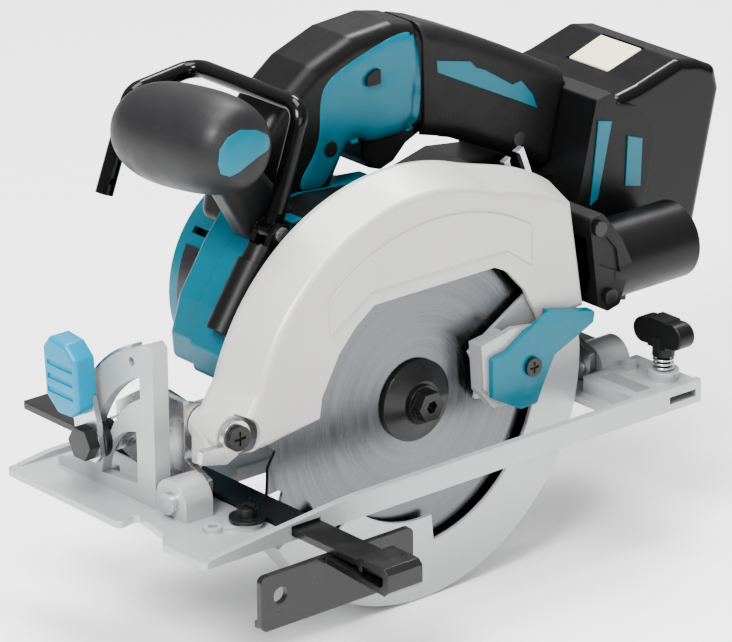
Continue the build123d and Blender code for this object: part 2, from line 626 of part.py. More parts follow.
with BuildPart() as lower_guard:
    # rim and the wall on the motor side, which turns on the spindle boss
    arc_band(side(GUARD_Y[1]), ARBOR, GUARD_R - GUARD_T, GUARD_R, -150, 180, GUARD_Y[1] - GUARD_Y[0])
    arc_band(side(GUARD_Y[1]), ARBOR, 21, GUARD_R - 1, -150, 180, GUARD_T)
    disc(side(-19.0), ARBOR, 24.0, 3.4)
    disc(side(-18), ARBOR, 20.3 + RUN, 8, Mode.SUBTRACT)
    # wall on the blade side: a rim band, the front tongue and the lever's root
    arc_band(side(GUARD_Y[0] + GUARD_T), ARBOR, 65, GUARD_R - 1, -84, 88, GUARD_T)
    arc_band(side(GUARD_Y[0] + GUARD_T), ARBOR, 53, GUARD_R - 1, -134, 50, GUARD_T)
    arc_band(side(GUARD_Y[0] + GUARD_T), ARBOR, 64, GUARD_R - 1, -150, 17, GUARD_T)
    arc_band(side(GUARD_Y[0] + GUARD_T), ARBOR, 31, GUARD_R - 1, -12, 42, GUARD_T)
    with BuildSketch(side(GUARD_Y[0] + 0.4)) as root:
        with BuildLine():
            Polyline((27, 46), (28.5, 24), (36, 15), (47, 14), (42, 48), close=True)
        make_face()
        with Locations(ARBOR):
            Circle(49.6, mode=Mode.INTERSECT)
    extrude(root.sketch, amount=5.4)
    prism(side(-40.3), [(27, 46), (28.5, 26), (36, 20), (58, 16), (72, 36), (62, 47), (45, 49.5)], 3.0)
    disc(side(-36), (53, 31), 2.1, 8, Mode.SUBTRACT)
finish(lower_guard, "lower_guard")

with BuildPart() as guard_lever:
    prism(side(-43.6), [(31, 39.5), (31, 22), (47, 13), (56, 13.5), (60, 22), (66, 33), (88, 42),
                        (89, 47), (64, 53),
                        (50, 47), (40, 41)], 2.4, corner=1.2)
    prism(side(-40.5), [(64, 47.8), (88, 42.3), (89, 47), (64, 53)], 4)
    disc(side(-43), (53, 31), 2.1, 5, Mode.SUBTRACT)
finish(guard_lever, "guard_lever")

with BuildPart() as guard_lever_screw:
    disc(side(-40.6), (53, 31), 2.05, 5.8)
    disc(side(-46.1), (53, 31), 4.2, 1.6)
    for slot_size in ((5, 1), (1, 5)):
        with BuildSketch(side(-47.0)) as cross:
            with Locations((53, 31)):
                Rectangle(*slot_size)
        extrude(cross.sketch, amount=2, mode=Mode.SUBTRACT)
finish(guard_lever_screw, "guard_lever_screw")

# ---------------------------------------------------------------- handle

# Outline of the handle's front leg with its trigger panel, and of the rear grip.
LEG = [(-50, 96), (-46, 116), (-39, 136), (-27, 149), (-10, 161.5), (12, 169.5), (35, 171), (49, 168),
       (50, 148),
       (46, 124), (38, 119), (22, 119), (11, 124), (4, 112), (-3, 98)]
GRIP = [(47, 168.5), (60, 164.5), (76, 157.5), (98, 147), (118, 136.5), (136, 127), (125, 82),
        (109, 92.4), (69, 111),
        (44, 118)]


def rounded_bar(outline, y, corner, edge):
    """Thick plate between two Y limits with its outline corners and its side edges rounded."""
    with BuildPart() as bar:
        prism(side(y[1]), outline, y[1] - y[0], corner=corner)
        fillet(bar.faces().filter_by(Axis.Y).edges(), edge)
    return bar.part


leg_bar = rounded_bar(LEG, HANDLE_Y, 4.0, 7.0)
grip_bar = rounded_bar(GRIP, (HANDLE_Y[0] - 0.5, HANDLE_Y[1] + 0.5), 4.0, 8.0)
grip_core = rounded_bar([(46, 166), (60, 162), (76, 155), (98, 144.5), (136, 124), (126, 82),
                         (109, 95), (69, 113.5),
                         (43, 121)],
                        (HANDLE_Y[0] + 1.2, HANDLE_Y[1] - 1.2), 4.0, 6.0)

SHELL_SCREWS = ((-26, 122), (-2, 124), (104, 104))
TRIGGER_CUT = [(18, 100), (18, 129), (24, 132), (62, 132), (66, 100)]
TRIGGER_PIVOT = (27.5, 123.5)
TRIGGER_PIN_R = 1.5
with BuildPart() as handle_body:
    add(leg_bar)
    add(grip_core)
    # battery holder: back wall, side cheeks that carry the rails, and the web down to the motor
    prism(battery_side(79), [(98, 58), (98, 148), (107, 151.5), (109.6, 148),
                             (109.6, 56)], 80.6, corner=1.2)
    prism(battery_side(79.2), [(106, 58), (106, 146), (122, 146), (138, 132), (138, 58)], 2.2)
    prism(battery_side(0.6), [(106, 58), (106, 146), (122, 146), (138, 132), (138, 58)], 2.2)
    prism(side(74), [(97, 88), (126, 84), (118, 46), (96, 44), (62, 58), (48, 62), (48, 76)], 57.6)
    # room for the switch, the wiring and the controller
    prism(side(49), [(-34, 104), (-34, 134), (-9, 155), (12, 163), (36, 164), (44, 160), (60, 156),
                     (100, 136),
                     (112, 120), (108, 100), (66, 121), (20, 128), (-6, 106)], 25, Mode.SUBTRACT)
    prism(side(68), [(60, 64), (60, 72), (96, 82), (116, 78), (111, 50), (97, 50)], 54, Mode.SUBTRACT)
    prism(side(49.3), TRIGGER_CUT, 25.6, Mode.SUBTRACT)
    disc(side(50.4), TRIGGER_PIVOT, TRIGGER_PIN_R, 28.6, Mode.SUBTRACT)
    # slot of the lock-off lever, through both sides
    prism(side(60), [(16, 146), (16, 152), (21, 155), (33, 155), (33, 149), (28, 146)], 44, Mode.SUBTRACT)
    # clear of the motor and gear housings, and the screw holes
    prism(side(34.1), LOBE, 18.2, Mode.SUBTRACT)
    prism(side(16.2), HOUSING_NEAR, 40, Mode.SUBTRACT)
    disc(side(78), MOTOR, DRUM_R, 50, Mode.SUBTRACT)
    for spot in SHELL_SCREWS:
        disc(side(36), spot, 1.8, 20, Mode.SUBTRACT)
        disc(side(20.5), spot, 3.4, 4, Mode.SUBTRACT)

with BuildPart() as handle_shell_near:
    add(handle_body.part)
    split(bisect_by=Plane.XZ.offset(-MID_Y), keep=Keep.TOP)
finish(handle_shell_near, "handle_shell_near")

with BuildPart() as handle_shell_far:
    add(handle_body.part)
    split(bisect_by=Plane.XZ.offset(-MID_Y), keep=Keep.BOTTOM)
finish(handle_shell_far, "handle_shell_far")

INLAY = [(57, 150), (76, 145.5), (79.5, 141.8), (84, 140), (100, 129.6), (105, 130.4), (111.6, 122.6),
         (114.6, 115.5),
         (105, 120.5), (57.5, 144.5)]
with BuildPart() as handle_grip:
    add(grip_bar)
    add(grip_core, mode=Mode.SUBTRACT)
    add(handle_body.part, mode=Mode.SUBTRACT)
    prism(side(58), [(40, 100), (40, 170), (50.3, 170), (50.3, 100)], 40, Mode.SUBTRACT)
    prism(battery_side(90), [(97.6, 40), (97.6, 160), (120, 160), (120, 40)], 100, Mode.SUBTRACT)
    prism(side(74), [(97, 88), (126, 84), (118, 46), (96, 44), (62, 58), (48, 62),
                     (48, 76)], 66, Mode.SUBTRACT)
    prism(side(49.3), TRIGGER_CUT, 25.6, Mode.SUBTRACT)
    disc(side(36), SHELL_SCREWS[2], 3.4, 20, Mode.SUBTRACT)
    # shallow seats for the coloured inlays
    for y_far in (HANDLE_Y[1] + 0.6, HANDLE_Y[0] + 0.4):
        prism(side(y_far), INLAY, 1.0, Mode.SUBTRACT)
finish(handle_grip, "handle_grip")

STRIP_FRONT = [(101, 139), (109, 139), (109, 104), (105.5, 101)]
STRIP_REAR = [(120.5, 132.5), (129.5, 131.5), (133.5, 110), (124.5, 110)]
with BuildPart() as handle_inlays:
    for y_far in (HANDLE_Y[1] + 0.6, HANDLE_Y[0] + 0.4):
        prism(side(y_far), INLAY, 0.95)
    for y_far in (79.9, -1.6):
        for strip in (STRIP_FRONT, STRIP_REAR):
            prism(battery_side(y_far), strip, 0.6)
finish(handle_inlays, "handle_inlays")

with BuildPart() as trigger:
    prism(side(48), [(21, 126), (21.5, 112), (25, 107.4), (31, 105.2), (38, 107.4), (45, 114),
                     (57, 119), (60, 126.5),
                     (40, 128.5), (26, 128.5)], 23, corner=1.6)
    fillet(trigger.faces().filter_by(Axis.Y).edges(), 2.5)
    disc(side(50), TRIGGER_PIVOT, TRIGGER_PIN_R + RUN, 30, Mode.SUBTRACT)
finish(trigger, "trigger")

with BuildPart() as trigger_pin:
    disc(side(50.4), TRIGGER_PIVOT, TRIGGER_PIN_R, 28.6)
finish(trigger_pin, "trigger_pin")

with BuildPart() as trigger_switch:
    block((-4, 34), (29, 47), (134.5, 146.4))
    block((26, 38), (32, 44), (132.4, 134.5))
finish(trigger_switch, "trigger_switch")

with BuildPart() as lock_off_lever:
    prism(side(53.6), [(17.5, 147.4), (17.5, 151.4), (21.6, 153.8), (25, 153.8),
                       (25, 147.4)], 35.2, corner=0.8)
    block((18.5, 24), (30, 46), (144, 156), Mode.SUBTRACT)
    prism(side(46.5), [(18.6, 148.2), (24, 148.2), (24, 153), (18.6, 150.6)], 17, Mode.ADD)
finish(lock_off_lever, "lock_off_lever")

with BuildPart() as controller:
    block((72, 96), (20, 62), (61, 66))
    for y in range(24, 60, 8):
        block((75, 93), (y, y + 4), (66, 70))
finish(controller, "controller")

with BuildPart() as terminal_block:
    prism(battery_side(52), [(109.8, 74), (109.8, 100), (114.6, 100), (114.6, 74)], 26)
    for y_far in (49, 33):
        prism(battery_side(y_far), [(114.6, 82), (114.6, 98), (117.4, 98), (117.4, 82)], 2)
finish(terminal_block, "terminal_block")

with BuildPart() as led_lens:
    prism(side(9), LED_SEAT, 9)
finish(led_lens, "led_lens")

# ---------------------------------------------------------------- front knob, hook and sleeve

KNOB = (-79.0, 147.5)
KNOB_TILT = 6.5
with BuildPart() as knob_blank:
    with BuildSketch(Plane.YZ) as knob_half:
        with BuildLine():
            Bezier((-41, 0), (-41, 10), (-40.2, 15.2), (-33, 18.2))
            Bezier((-33, 18.2), (-24, 21.8), (-12, 21.8), (0, 21.8))
            Bezier((0, 21.8), (22, 21.8), (37, 18), (37, 0))
            Line((37, 0), (-41, 0))
        make_face()
    revolve(knob_half.sketch, axis=Axis.Y)
knob_solid = knob_blank.part.rotate(Axis.X, -KNOB_TILT).translate((KNOB[0], 20, KNOB[1]))
CAP_PLANE = Plane(origin=(KNOB[0], -26.0, KNOB[1] + 5.2), x_dir=(1, 0, 0),
                  z_dir=(0, -cos(radians(KNOB_TILT)), sin(radians(KNOB_TILT))))
CAP = [(-13.6, -3), (-12.6, 3), (-8.5, 7.4), (-2.1, 9.2), (6.5, 7.2), (12.6, 3.6), (14.2, 0.4),
       (12.4, -2.4), (6, -3.8),
       (0, -6), (-4, -8), (-8.6, -9.2), (-12.4, -7.4)]
CAP_DEPTH = 12.0
with BuildPart() as front_knob:
    add(knob_solid)
    prism(CAP_PLANE, CAP, -CAP_DEPTH, Mode.SUBTRACT, corner=1.0)
    # neck down to the front of the gear housing
    with BuildSketch(Plane(origin=(-44, 11.4, 103), z_dir=(-0.30, 0, 1))) as neck_low:
        RectangleRounded(26, 16, 5)
    with BuildSketch(Plane(origin=(-69, 11.4, 140), z_dir=(-0.30, 0, 1))) as neck_top:
        RectangleRounded(20, 16, 5)
    loft([neck_low.sketch, neck_top.sketch])
    prism(side(80), [(-120, 60), (-78, 74), (-62, 96.3), (-50, 108.3), (-20, 110.3),
                     (-20, 60)], 90, Mode.SUBTRACT)
    prism(side(3.4), [(-70, 90), (-40, 90), (-28, 175), (-60, 175)], 8, Mode.SUBTRACT)
finish(front_knob, "front_knob")

with BuildPart() as knob_cap:
    add(knob_solid)
    prism(CAP_PLANE, CAP, -CAP_DEPTH, Mode.INTERSECT, corner=1.0)
finish(knob_cap, "knob_cap")

HOOK_DIR = (0.3226, 0.0, 0.9465)
HOOK_R = 3.9
HOOK_PIVOT = (-54.2, 107.0)
HOOK_Y = -5.0
SLEEVE_LEN = 32.0
COLLAR_LEN = 8.0


def along(start, direction_vector, distance):
    """Point at a distance from a start along a direction."""
    return tuple(s + distance * d for s, d in zip(start, direction_vector))


HOOK_FOOT = (HOOK_PIVOT[0], HOOK_Y, HOOK_PIVOT[1])
CORNER_NEAR = along(HOOK_FOOT, HOOK_DIR, 53.0)
CORNER_FAR = (CORNER_NEAR[0], 65.5, CORNER_NEAR[2])
ELBOW = (CORNER_FAR[0] - 34, 65.5, CORNER_FAR[2] - 4)
TIP_DIR = (-0.36, 0, -0.933)
with BuildPart() as hook:
    with BuildLine():
        FilletPolyline(HOOK_FOOT, CORNER_NEAR, CORNER_FAR, ELBOW, along(ELBOW, TIP_DIR, 44.0), radius=7.5)
    with BuildSketch(Plane(origin=HOOK_FOOT, x_dir=(0, 1, 0), z_dir=HOOK_DIR)):
        Circle(HOOK_R)
    sweep()
    disc(side(HOOK_Y + 3.0), HOOK_PIVOT, 5.0, 6.0)
    # flats that fit between the cheeks of the fork
    for y_far in (2, HOOK_Y - 3.0):
        prism(side(y_far), [(-61.8, 103.3), (-50.5, 99.4), (-45.9, 112.6),
                            (-57.3, 116.5)], 4.0, Mode.SUBTRACT)
    disc(side(HOOK_Y + 8), HOOK_PIVOT, 2.0 + RUN, 16, Mode.SUBTRACT)
    cross_hole = along(ELBOW, TIP_DIR, 38.0)
    disc(side(75), (cross_hole[0], cross_hole[2]), 1.6, 20, Mode.SUBTRACT)
finish(hook, "hook")

with BuildPart() as hook_sleeve:
    for radius, length in ((SLEEVE_R, SLEEVE_LEN), (SLEEVE_R - 1.2, SLEEVE_LEN + COLLAR_LEN)):
        with BuildSketch(Plane(origin=SLEEVE_LOW, x_dir=(0, 1, 0), z_dir=SLEEVE_DIR)) as tube:
            Circle(radius)
        extrude(tube.sketch, amount=length)
    # fork whose cheeks stand on both sides of the hook's eye
    prism(side(HOOK_Y + 6.0), [(-63.5, 99), (-54, 92.8), (-49.5, 104), (-50, 110), (-55, 112),
                               (-59, 108)], 12.0, corner=1.0)
    prism(side(HOOK_Y + 3.15), [(-70, 112), (-61.2, 100.4), (-50, 92.9), (-40, 96),
                                (-40, 125)], 6.3, Mode.SUBTRACT)
    disc(side(HOOK_Y + 8), HOOK_PIVOT, 2.0, 16, Mode.SUBTRACT)
finish(hook_sleeve, "hook_sleeve")

with BuildPart() as hook_pin:
    disc(side(HOOK_Y + 7.4), HOOK_PIVOT, 3.4, 1.3)
    disc(side(HOOK_Y + 6.1), HOOK_PIVOT, 2.0, 12.2)
    disc(side(HOOK_Y - 6.1), HOOK_PIVOT, 3.4, 1.3)
finish(hook_pin, "hook_pin")

# ---------------------------------------------------------------- dust nozzle

NOZZLE_R = 17.3
NOZZLE_Y = -20.6
NOZZLE_Z = 56.0
NOZZLE_END = 158.5
NOZZLE_SCREWS = ((98.2, 80), (104.5, 47.5))
PORT_WALL = 2.2
with BuildPart() as dust_nozzle:
    # root flange that follows the back of the case, and its triangular web
    prism(side(-6.0), [(93.2, 85), (98.8, 43.5), (104, 40.5), (111, 42), (118, 60), (112, 72),
                       (101, 86)], 31.6,
          corner=1.5)
    disc(front(108), (NOZZLE_Y, NOZZLE_Z), NOZZLE_R, NOZZLE_END - 108)
    fillet(dust_nozzle.faces().sort_by(Axis.X)[-1].edges(), 0.8)
    prism(side(-36.6), [(97.6, 74), (99.0, 63), (111, 57), (109, 68), (103, 75)], 3, Mode.SUBTRACT)
    # duct, wider at the mouth
    disc(front(92), (NOZZLE_Y, NOZZLE_Z), NOZZLE_R - 5, 90, Mode.SUBTRACT)
    disc(front(124), (NOZZLE_Y, NOZZLE_Z), NOZZLE_R - PORT_WALL, 60, Mode.SUBTRACT)
    prism(side(-22), [(80, 54), (108, 56), (108, 74), (80, 76)], 12, Mode.SUBTRACT)
    prism(side(0), [(60, 40), (97.9, 42), (88, 100), (60, 110)], 60, Mode.SUBTRACT)
    prism(side(-8.2), [(92, 30), (97.5, 30), (97.5, 95), (92, 95)], 8, Mode.SUBTRACT)
finish(dust_nozzle, "dust_nozzle")

# ---------------------------------------------------------------- battery

with BuildPart() as battery_case:
    prism(battery_side(BATT_Y[1]), [(113, 66), (176, 66), (176, 154), (171, 163.5), (160, 166),
                                    (148, 165.5), (127, 154),
                                    (113, 148)], BATT_Y[1] - BATT_Y[0], corner=4.5)
    fillet(battery_case.faces().filter_by(Axis.Y).edges(), 4.5)
    prism(battery_side(62), [(110, 70), (114, 70), (114, 140), (110, 140)], 46)
    prism(battery_side(56), [(109, 64), (120, 64), (120, 126), (109, 126)], 34, Mode.SUBTRACT)
    prism(battery_side(73), [(122, 70), (172, 70), (172, 148.4), (122, 146.4)], 69, Mode.SUBTRACT)
    # well of the release button
    prism(battery_side(52.4), [(126.5, 157.2), (146.5, 169.2), (150.5, 162),
                               (130.5, 149.8)], 27.2, Mode.SUBTRACT)
finish(battery_case, "battery_case")

with BuildPart() as battery_button:
    prism(battery_side(52), [(129.4, 154.8), (146.8, 165.4), (147.8, 163.7),
                             (130.4, 153.1)], 26.4, corner=0.6)
finish(battery_button, "battery_button")

CELL_R = 9.05
with BuildPart() as battery_cells:
    for layer in (133.0, 151.6):
        for row in range(4):
            disc(battery_side(71), (layer, 80.4 + 18.6 * row), CELL_R, 65)
finish(battery_cells, "battery_cells")

# ---------------------------------------------------------------- levers, pins, labels and screws

with BuildPart() as depth_pivot_pin:
    disc(side(13.6), DEPTH_PIVOT, 5.4, 2.4)
    disc(side(11.2), DEPTH_PIVOT, PIN_R, 46.6)
    disc(side(-35.3), DEPTH_PIVOT, 5.4, 2.0)
    for slot_size in ((6, 1.1), (1.1, 6)):
        with BuildSketch(side(-36.3)) as cross:
            with Locations(DEPTH_PIVOT):
                Rectangle(*slot_size)
        extrude(cross.sketch, amount=1.5, mode=Mode.SUBTRACT)
finish(depth_pivot_pin, "depth_pivot_pin")

with BuildPart() as stop_lever:
    disc(side(-32.0), DEPTH_PIVOT, 7.2, 3.0)
    prism(side(-32.0), [(-101, 31), (-104, 34), (-116, 35), (-117, 29), (-104, 26),
                        (-97, 29)], 3.0, corner=0.8)
    disc(side(-31), DEPTH_PIVOT, PIN_R + RUN, 6, Mode.SUBTRACT)
finish(stop_lever, "stop_lever")

with BuildPart() as depth_lever:
    hexagon(side(2.6), LOCK_BOLT, 10, 4)
    disc(side(-1.3), LOCK_BOLT, 7.0, 2.6)
    prism(side(2.6), [(86, 9), (94, 9), (96, 26), (100, 44), (92, 46), (88, 28)], 3.6, corner=1.5)
    disc(side(-1.6), LOCK_BOLT, 2.95, 14.4)
    hexagon(side(-12.6), LOCK_BOLT, 9, 3.4)
finish(depth_lever, "depth_lever")

with BuildPart() as shaft_lock:
    disc(front(-52), SHAFT_LOCK, 2.4, 35)
    disc(front(-17.5), SHAFT_LOCK, 0.5, 2.9)
    disc(front(-54), SHAFT_LOCK, 5.2, 4)
finish(shaft_lock, "shaft_lock")

with BuildPart() as name_plate:
    arc_band(side(66), MOTOR, DRUM_R, DRUM_R + 0.5, 152, 50, 22)
finish(name_plate, "name_plate")

with BuildPart() as housing_screws:
    for x, z in SHELL_SCREWS:
        disc(side(36), (x, z), 1.8, 16.6)
        disc(side(20.4), (x, z), 3.4, 1.2)
    for x, z in NOZZLE_SCREWS:
        disc(side(-37.7), (x, z), 3.4, 2.0)
finish(housing_screws, "housing_screws")
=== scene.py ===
"""Looks of the cordless circular saw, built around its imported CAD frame. All lengths are in metres."""

import json
import math

import bmesh
import bpy
from mathutils import Matrix, Vector
from mathutils.bvhtree import BVHTree
from mathutils.geometry import delaunay_2d_cdt


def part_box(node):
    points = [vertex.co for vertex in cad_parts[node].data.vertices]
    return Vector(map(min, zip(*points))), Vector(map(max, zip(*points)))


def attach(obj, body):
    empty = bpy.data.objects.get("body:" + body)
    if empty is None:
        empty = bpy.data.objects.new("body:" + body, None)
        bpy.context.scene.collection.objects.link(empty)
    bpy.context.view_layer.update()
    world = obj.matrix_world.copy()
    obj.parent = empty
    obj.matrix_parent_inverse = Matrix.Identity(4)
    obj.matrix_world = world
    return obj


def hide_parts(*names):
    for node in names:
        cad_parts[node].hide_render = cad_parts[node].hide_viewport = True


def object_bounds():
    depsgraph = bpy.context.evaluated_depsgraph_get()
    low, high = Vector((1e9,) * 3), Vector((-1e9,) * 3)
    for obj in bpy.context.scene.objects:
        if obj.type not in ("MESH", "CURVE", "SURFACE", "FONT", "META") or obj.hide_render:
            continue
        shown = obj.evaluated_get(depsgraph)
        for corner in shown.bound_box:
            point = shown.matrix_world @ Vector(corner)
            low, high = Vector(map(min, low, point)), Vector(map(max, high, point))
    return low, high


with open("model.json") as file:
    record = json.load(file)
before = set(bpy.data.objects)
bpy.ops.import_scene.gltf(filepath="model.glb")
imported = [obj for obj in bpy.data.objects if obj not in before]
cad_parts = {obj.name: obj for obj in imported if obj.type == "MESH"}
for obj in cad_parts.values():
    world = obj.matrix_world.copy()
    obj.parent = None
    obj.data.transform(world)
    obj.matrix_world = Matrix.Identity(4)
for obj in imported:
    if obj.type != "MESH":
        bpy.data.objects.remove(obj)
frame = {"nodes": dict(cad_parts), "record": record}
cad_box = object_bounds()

MM = 0.001

# The camera: degrees, metres, and the lens and sensor in millimetres.
CAMERA_AZIMUTH = -39.91
CAMERA_ELEVATION = 21.31
CAMERA_ROLL = -0.56
CAMERA_DISTANCE = 2.2816
CAMERA_TARGET = Vector((0.0001, 0.0, 0.0518))
SENSOR = 36.0
LENS = 265.7

# The world's strength at the horizon and overhead.
HORIZON = 0.28
ZENITH = 0.80

FLOOR_HALF = 9.0
FLOOR_GAP = 0.4 * MM

# Each lamp's name, place, width and height, and watts. All face LAMP_AIM.
LAMPS = (
    ("key", (-1.5, -0.7, 1.7), (0.9, 0.7), 62.0),
    ("fill", (-0.6, -2.2, 0.9), (1.4, 0.9), 16.0),
    ("rim", (1.2, 0.9, 1.9), (0.9, 0.5), 30.0),
    ("top", (0.0, 0.1, 2.3), (1.3, 1.3), 52.0),
)
LAMP_AIM = Vector((0.0, 0.0, 0.06))

# The coloured part of the gear housing lies before this x and beyond this y, with a soft edge this wide.
PARTING_X = -38.0 * MM
PARTING_Y = -6.0 * MM
PARTING_EDGE = 0.2 * MM

# How far along each side an inlay's corner is cut back, and where the rays that seat it start.
CORNER_CUT = 0.22
RAY_START_Y = -0.3


class Finish:
    """One procedural material: its shader, the piece's own coordinates, and helpers for the nodes between."""

    def __init__(self, name, roughness, metallic=0.0, edge=0.5 * MM, **sockets):
        self.material = bpy.data.materials.new(name)
        self.material.use_nodes = True
        self.tree = self.material.node_tree
        self.shader = self.tree.nodes["Principled BSDF"]
        self.shader.inputs["Roughness"].default_value = roughness
        self.shader.inputs["Metallic"].default_value = metallic
        for key, value in sockets.items():
            self.shader.inputs[key.replace("_", " ")].default_value = value
        self.place = self.add("ShaderNodeTexCoord").outputs["Object"]
        self.bevel = self.add("ShaderNodeBevel", Radius=edge)
        self.bevel.samples = 4
        self.normal = self.bevel.outputs["Normal"]

    def add(self, kind, **inputs):
        """A node of that kind, with each named input set to a value or joined to a socket."""
        made = self.tree.nodes.new(kind)
        for key, value in inputs.items():
            self.feed(made.inputs[key.replace("_", " ")], value)
        return made

    def feed(self, socket, value):
        if isinstance(value, bpy.types.NodeSocket):
            self.tree.links.new(value, socket)
        else:
            socket.default_value = value

    def noise(self, size, detail=2.0):
        """Noise from 0 to 1 whose lumps are about size across."""
        made = self.add("ShaderNodeTexNoise", Vector=self.place, Scale=1.0 / size, Detail=detail)
        return made.outputs["Fac"]

    def cells(self, size):
        """Rounded cells about size across: 0 at each middle, more towards the edges."""
        made = self.add("ShaderNodeTexVoronoi", Vector=self.place, Scale=1.0 / size)
        return made.outputs["Distance"]

    def span(self, value, low, high, to_low, to_high):
        made = self.add("ShaderNodeMapRange")
        for index, item in enumerate((value, low, high, to_low, to_high)):
            self.feed(made.inputs[index], item)
        return made.outputs["Result"]

    def math(self, operation, first, second=0.0):
        made = self.tree.nodes.new("ShaderNodeMath")
        made.operation = operation
        self.feed(made.inputs[0], first)
        self.feed(made.inputs[1], second)
        return made.outputs[0]

    def mix(self, factor, first, second):
        """A colour between two colours."""
        made = self.tree.nodes.new("ShaderNodeMix")
        made.data_type = "RGBA"
        self.feed(made.inputs[0], factor)
        self.feed(made.inputs[6], first)
        self.feed(made.inputs[7], second)
        return made.outputs[2]

    def edges(self):
        """1 along the piece's sharp edges and 0 on its faces."""
        flat = self.add("ShaderNodeNewGeometry").outputs["Normal"]
        made = self.tree.nodes.new("ShaderNodeVectorMath")
        made.operation = "DOT_PRODUCT"
        self.feed(made.inputs[0], self.normal)
        self.feed(made.inputs[1], flat)
        return self.span(made.outputs["Value"], 0.99, 0.80, 0.0, 1.0)

    def bump(self, height, depth):
        """Adds relief depth metres deep to what is there."""
        made = self.add("ShaderNodeBump", Height=height, Normal=self.normal)
        made.inputs["Strength"].default_value = 1.0
        made.inputs["Distance"].default_value = depth
        self.normal = made.outputs["Normal"]

    def close(self, colour, roughness=None):
        """Joins the colour, the relief and, where it varies, the roughness to the shader."""
        self.feed(self.shader.inputs["Base Color"], colour)
        self.feed(self.shader.inputs["Normal"], self.normal)
        if roughness is not None:
            self.feed(self.shader.inputs["Roughness"], roughness)
        return self.material


def shade(colour, factor):
    return tuple(min(1.0, part * factor) for part in colour[:3]) + (1.0,)


def metal(name, colour, roughness, metallic, grain, depth, wear=1.15, edge=0.5 * MM):
    """Cast, painted or machined metal: a fine grain, soft cloudy patches, and edges rubbed brighter."""
    made = Finish(name, roughness, metallic, edge)
    cloud = made.noise(0.028, 3.0)
    colour_of = made.mix(cloud, shade(colour, 0.93), shade(colour, 1.06))
    rub = made.math("MULTIPLY", made.edges(), made.noise(0.004, 3.0))
    colour_of = made.mix(rub, colour_of, shade(colour, wear))
    made.bump(made.noise(grain, 3.0), depth)
    rough = made.span(made.noise(0.009, 4.0), 0.3, 0.7, roughness - 0.05, roughness + 0.06)
    return made.close(colour_of, rough)


def plastic(name, colour, roughness, grain=0.45 * MM, depth=0.012 * MM, wear=1.5, **sockets):
    """Moulded plastic: spark-eroded grain, slight cloudiness, and edges polished a little lighter."""
    made = Finish(name, roughness, **sockets)
    colour_of = made.mix(made.noise(0.02, 3.0), shade(colour, 0.9), shade(colour, 1.1))
    rub = made.math("MULTIPLY", made.edges(), made.noise(0.003, 3.0))
    colour_of = made.mix(rub, colour_of, shade(colour, wear))
    made.bump(made.noise(grain, 2.0), depth)
    rough = made.span(made.noise(0.006, 4.0), 0.3, 0.7, roughness - 0.04, roughness + 0.05)
    return made.close(colour_of, rough)


def pebbled(name, colour, roughness, cell=0.8 * MM, depth=0.07 * MM):
    """Over-moulded rubber with a pebbled skin, with painted shade in the hollows between the pebbles and a
    painted highlight on their raised middles.
    """
    made = Finish(name, roughness, Specular_IOR_Level=0.34)
    pebble_height_and_shade = made.cells(cell)
    # Painted shade and highlight: the colour darkens towards each pebble's low edges and lightens on its
    # raised middle, following the same height as the bump.
    colour_of = made.mix(pebble_height_and_shade, shade(colour, 1.25), shade(colour, 0.7))
    made.bump(made.math("MULTIPLY", pebble_height_and_shade, -1.0), depth)
    made.bump(made.noise(0.2 * MM), 0.01 * MM)
    rough = made.span(made.noise(0.008, 3.0), 0.3, 0.7, roughness - 0.06, roughness + 0.05)
    return made.close(colour_of, rough)


def saw_steel():
    """The blade: rings of fine turning marks about its axle, and a darker tone where the radius nears the
    tips.
    """
    low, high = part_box("blade")
    middle = (low + high) / 2
    made = Finish("blade_steel", 0.24, 1.0, 0.25 * MM, Anisotropic=0.75)
    shift = made.add("ShaderNodeMapping", Vector=made.place)
    shift.inputs["Location"].default_value = (-middle.x, -middle.y, -middle.z)
    axes = made.add("ShaderNodeSeparateXYZ", Vector=shift.outputs["Vector"])
    radius = made.math("SQRT", made.math("ADD",
                       made.math("POWER", axes.outputs["X"], 2.0),
                       made.math("POWER", axes.outputs["Z"], 2.0)))
    ring = made.add("ShaderNodeCombineXYZ", X=radius)
    fine = made.add("ShaderNodeTexNoise", Vector=ring.outputs["Vector"], Scale=2600.0, Detail=5.0)
    broad = made.add("ShaderNodeTexNoise", Vector=ring.outputs["Vector"], Scale=240.0, Detail=3.0)
    tone = made.mix(fine.outputs["Fac"], (0.085, 0.088, 0.095, 1.0), (0.215, 0.22, 0.23, 1.0))
    tip = made.span(radius, high.x - 5.5 * MM, high.x - 4.5 * MM, 0.0, 0.55)
    tone = made.mix(tip, tone, (0.09, 0.09, 0.095, 1.0))
    made.bump(fine.outputs["Fac"], 0.006 * MM)
    rough = made.span(broad.outputs["Fac"], 0.3, 0.7, 0.20, 0.34)
    tangent = made.tree.nodes.new("ShaderNodeTangent")
    tangent.direction_type = "RADIAL"
    tangent.axis = "Y"
    made.feed(made.shader.inputs["Tangent"], tangent.outputs["Tangent"])
    return made.close(tone, rough)


def gear_shell():
    """The gear housing's moulding: coloured at the front and towards the motor, black elsewhere."""
    made = Finish("gear_shell", 0.34)
    axes = made.add("ShaderNodeSeparateXYZ", Vector=made.place)
    front = made.span(axes.outputs["X"], PARTING_X, PARTING_X + PARTING_EDGE, 1.0, 0.0)
    side = made.span(axes.outputs["Y"], PARTING_Y, PARTING_Y + PARTING_EDGE, 0.0, 1.0)
    coloured = made.math("MULTIPLY", front, side)
    cloud = made.noise(0.02, 3.0)
    teal = made.mix(cloud, shade(TEAL, 0.9), shade(TEAL, 1.1))
    black = made.mix(cloud, shade(BLACK, 0.9), shade(BLACK, 1.2))
    made.bump(coloured, 0.25 * MM)
    made.bump(made.noise(0.45 * MM), 0.012 * MM)
    rough = made.span(made.noise(0.006, 4.0), 0.3, 0.7, 0.30, 0.40)
    return made.close(made.mix(coloured, black, teal), rough)


